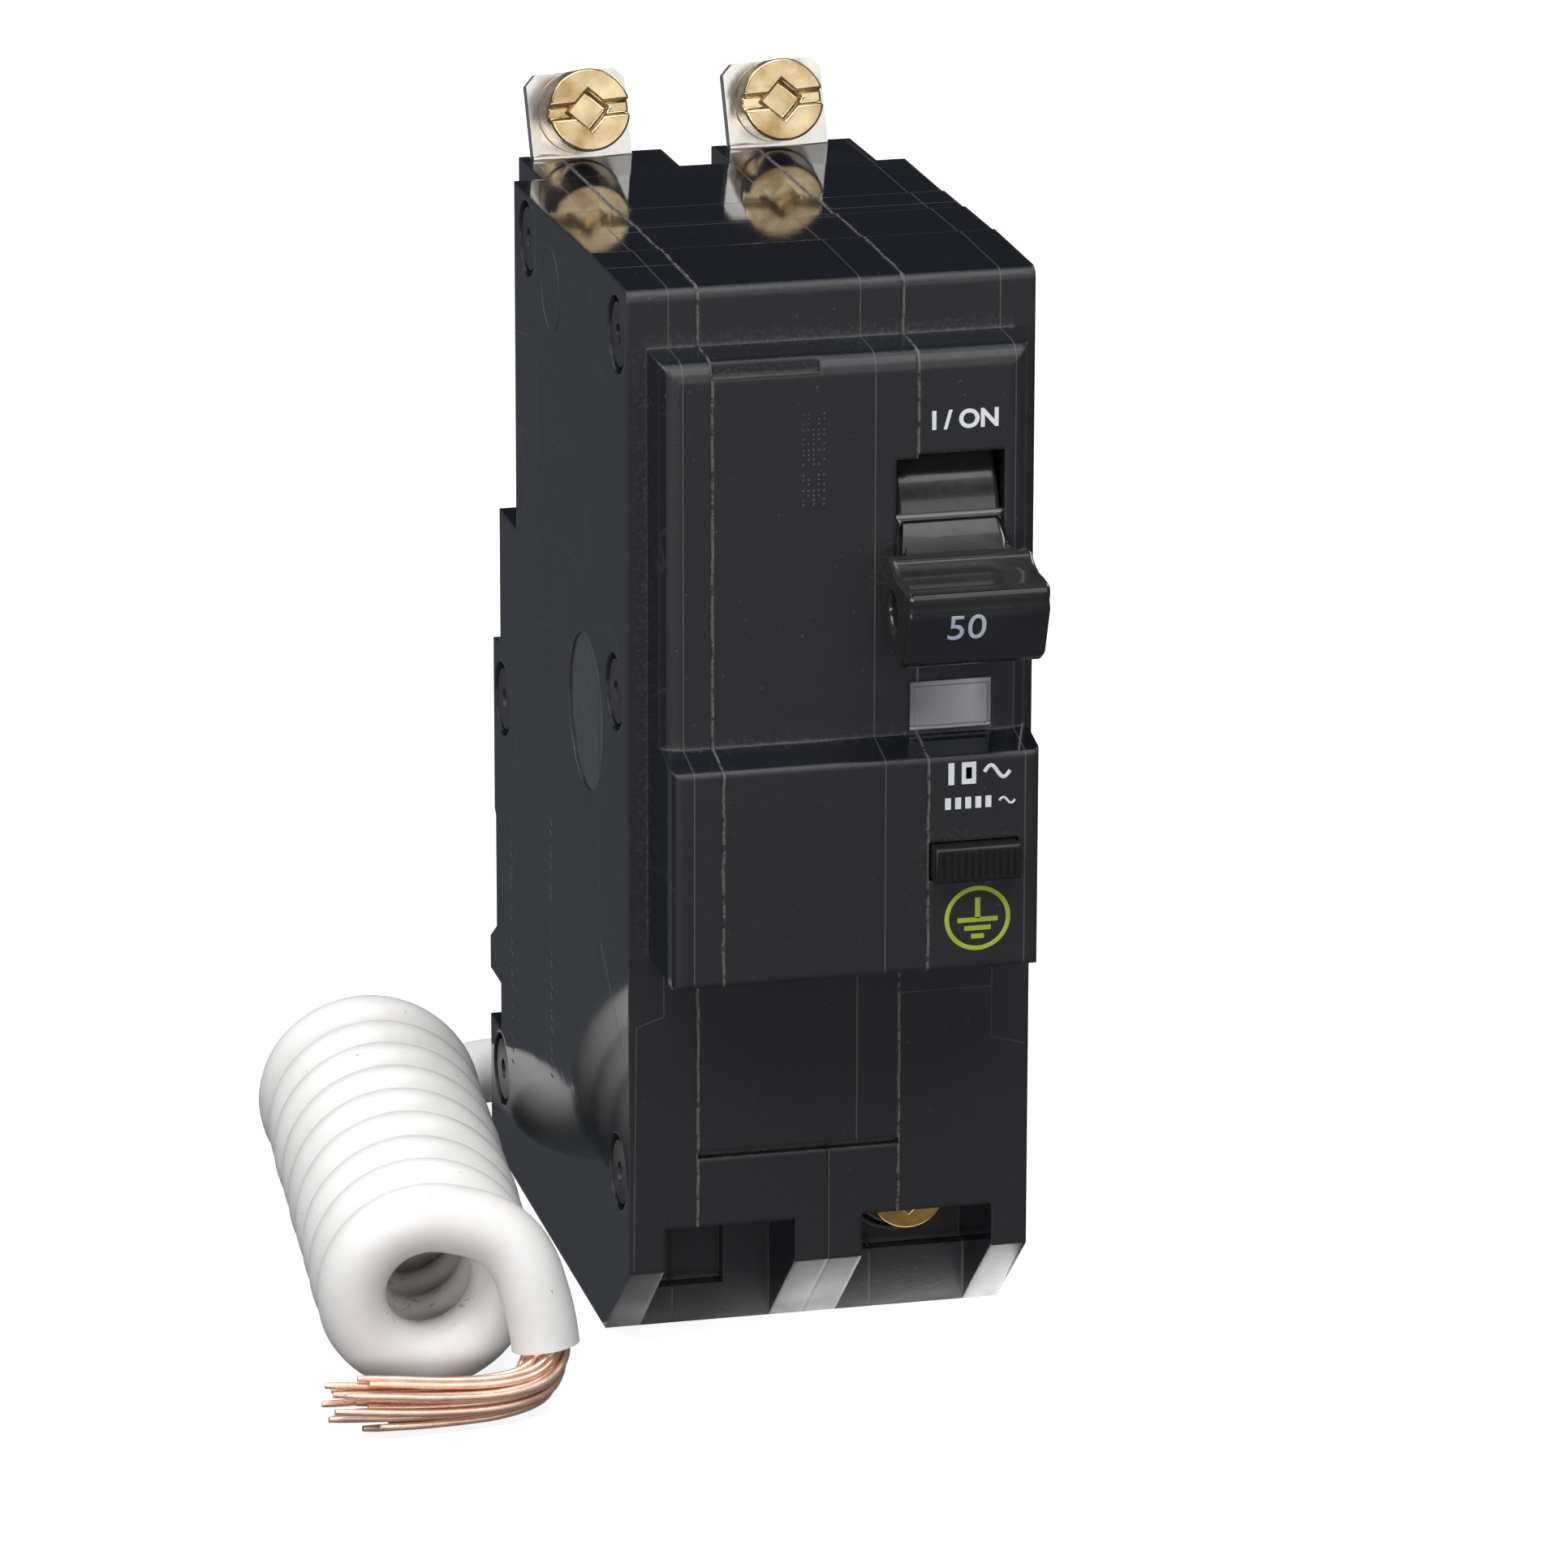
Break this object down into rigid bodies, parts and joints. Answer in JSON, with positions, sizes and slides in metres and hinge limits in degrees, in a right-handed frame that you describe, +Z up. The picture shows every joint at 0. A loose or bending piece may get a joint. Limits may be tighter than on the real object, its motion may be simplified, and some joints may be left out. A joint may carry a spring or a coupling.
{
  "type": "two-pole ground-fault circuit breaker",
  "caption": "Black moulded two-pole bolt-on circuit breaker with rocker handle, test button, window, plated line screws, load lugs and a coiled white neutral pigtail.",
  "frame": {"origin": "centre of the bottom of the breaker's box, without the pigtail, on the surface it stands on", "axes": "+Z up towards the line tabs, -Y out of the front face with the handle, +X to the right seen from the front"},
  "size_m": [0.0693, 0.0943, 0.1107],
  "materials": {
    "moulded_black": "satin thermoset moulding",
    "rivet_steel": "dull plated",
    "tinned_copper": "tinned, satin",
    "yellow_zinc": "yellow chromate plated",
    "silver_contact": "satin silver",
    "arc_plate_steel": "zinc plated",
    "copper": "satin copper",
    "fibre_brown": "matte glass-filled",
    "spring_steel": "bright",
    "handle_black": "semi-gloss",
    "clear_lens": "clear",
    "flag_orange": "matte",
    "button_black": "satin",
    "contact_brass": "bright",
    "lever_steel": "zinc plated",
    "bimetal": "satin",
    "braid_copper": "braided",
    "lug_aluminium": "satin",
    "load_screw_brass": "yellow chromate plated",
    "plate_steel": "zinc plated",
    "coil_enamel": "enamelled winding",
    "board_green": "solder mask",
    "component_black": "moulded epoxy",
    "core_blue": "taped winding",
    "jumper_grey": "insulated wire",
    "wire_white": "extruded insulation",
    "strand_copper": "bright drawn copper"
  },
  "bodies": {
    "housing": {"left_cover": "moulded_black", "centre_housing": "moulded_black", "right_cover": "moulded_black", "pole_foot_left": "moulded_black", "pole_foot_right": "moulded_black", "case_rivets": "rivet_steel", "line_tab_left": "tinned_copper", "line_tab_right": "tinned_copper", "fixed_contact_left": "silver_contact", "fixed_contact_right": "silver_contact", "arc_chute_left": "arc_plate_steel", "arc_chute_right": "arc_plate_steel", "handle_spring": "spring_steel", "window_lens": "clear_lens", "test_spring": "spring_steel", "test_contact": "contact_brass", "cradle_pin": "lever_steel", "bimetal_left": "bimetal", "bimetal_right": "bimetal", "magnet_yoke_left": "lever_steel", "magnet_yoke_right": "lever_steel", "braid_left": "braid_copper", "braid_right": "braid_copper", "load_strap_left": "copper", "load_strap_right": "copper", "load_lug_left": "lug_aluminium", "load_lug_right": "lug_aluminium", "solenoid_coil": "coil_enamel", "circuit_board": "board_green", "board_components": "component_black", "sense_transformer": "coil_enamel", "neutral_transformer": "core_blue", "sense_jumpers": "jumper_grey", "neutral_strap": "copper", "rail_clip": "spring_steel", "neutral_wire": "wire_white", "neutral_lead": "wire_white", "neutral_coil": "wire_white", "neutral_tail": "wire_white", "neutral_strands": "strand_copper"},
    "handle": {"handle": "handle_black"},
    "contact_carrier": {"contact_arm_left": "copper", "contact_arm_right": "copper", "crossbar": "fibre_brown", "contact_spring_left": "spring_steel", "contact_spring_right": "spring_steel"},
    "trip_bar": {"trip_bar": "fibre_brown"},
    "cradles": {"cradle_left": "lever_steel", "cradle_right": "lever_steel"},
    "trip_flag": {"trip_flag": "flag_orange"},
    "solenoid_plunger": {"solenoid_plunger": "lever_steel"},
    "armature_left": {"armature_left": "lever_steel"},
    "armature_right": {"armature_right": "lever_steel"},
    "test_button": {"test_button": "button_black"},
    "line_screw_left": {"line_screw_left": "yellow_zinc"},
    "line_screw_right": {"line_screw_right": "yellow_zinc"},
    "pressure_plate_left": {"pressure_plate_left": "plate_steel"},
    "pressure_plate_right": {"pressure_plate_right": "plate_steel"},
    "load_screw_left": {"load_screw_left": "load_screw_brass"},
    "load_screw_right": {"load_screw_right": "load_screw_brass"}
  },
  "joints": [
    {"name": "handle_swing", "type": "hinge", "parent": "housing", "child": "handle", "pos_m": [0.00965, -0.02014, 0.08], "axis": [-1, 0, 0], "range_deg": [0, 34]},
    {"name": "contacts_close", "type": "hinge", "parent": "housing", "child": "contact_carrier", "pos_m": [0, 0.00486, 0.062], "axis": [-1, 0, 0], "range_deg": [0, 16]},
    {"name": "trip_bar_turn", "type": "hinge", "parent": "housing", "child": "trip_bar", "pos_m": [0, 0.01036, 0.044], "axis": [-1, 0, 0], "range_deg": [0, 8]},
    {"name": "cradles_release", "type": "hinge", "parent": "housing", "child": "cradles", "pos_m": [0, -0.01314, 0.06], "axis": [-1, 0, 0], "range_deg": [0, 6]},
    {"name": "flag_swing", "type": "hinge", "parent": "housing", "child": "trip_flag", "pos_m": [0.00965, -0.01714, 0.057], "axis": [-1, 0, 0], "range_deg": [0, 30]},
    {"name": "plunger_push", "type": "slide", "parent": "housing", "child": "solenoid_plunger", "axis": [0, 1, 0], "range_m": [0, 0.0007], "stiffness_N_per_m": 1500},
    {"name": "armature_left_pull", "type": "hinge", "parent": "housing", "child": "armature_left", "pos_m": [-0.0095, 0.01366, 0.035], "axis": [-1, 0, 0], "range_deg": [0, 3.5], "stiffness_Nm_per_rad": 0.01},
    {"name": "armature_right_pull", "type": "hinge", "parent": "housing", "child": "armature_right", "pos_m": [0.0095, 0.01366, 0.035], "axis": [-1, 0, 0], "range_deg": [0, 3.5], "stiffness_Nm_per_rad": 0.01},
    {"name": "test_press", "type": "slide", "parent": "housing", "child": "test_button", "axis": [0, 1, 0], "range_m": [0, 0.0012], "stiffness_N_per_m": 400},
    {"name": "line_screw_left_spin", "type": "hinge", "parent": "housing", "child": "line_screw_left", "pos_m": [-0.01053, 0.03467, 0.10523], "axis": [0.012, 0.9613, -0.2754], "continuous": true},
    {"name": "line_screw_right_spin", "type": "hinge", "parent": "housing", "child": "line_screw_right", "pos_m": [0.00877, 0.03467, 0.10523], "axis": [0.012, 0.9613, -0.2754], "continuous": true},
    {"name": "pressure_plate_left_clamp", "type": "slide", "parent": "housing", "child": "pressure_plate_left", "axis": [0, 1, 0], "range_m": [0, 0.0027]},
    {"name": "load_screw_left_turn", "type": "hinge", "parent": "pressure_plate_left", "child": "load_screw_left", "pos_m": [-0.0095, -0.01514, 0.0147], "axis": [0, 1, 0], "range_deg": [0, 1080]},
    {"name": "pressure_plate_right_clamp", "type": "slide", "parent": "housing", "child": "pressure_plate_right", "axis": [0, 1, 0], "range_m": [0, 0.0027]},
    {"name": "load_screw_right_turn", "type": "hinge", "parent": "pressure_plate_right", "child": "load_screw_right", "pos_m": [0.0095, -0.01514, 0.0125], "axis": [0, 1, 0], "range_deg": [0, 1080]}
  ],
  "couplings": [
    {"joint": "contacts_close", "follows": "handle_swing", "ratio": 0.47059},
    {"joint": "trip_bar_turn", "follows": "plunger_push", "rad_per_m": 199},
    {"joint": "cradles_release", "follows": "plunger_push", "rad_per_m": 149},
    {"joint": "flag_swing", "follows": "plunger_push", "rad_per_m": 745},
    {"joint": "load_screw_left_turn", "follows": "pressure_plate_left_clamp", "rad_per_m": 6981.3},
    {"joint": "load_screw_right_turn", "follows": "pressure_plate_right_clamp", "rad_per_m": 6981.3}
  ]
}
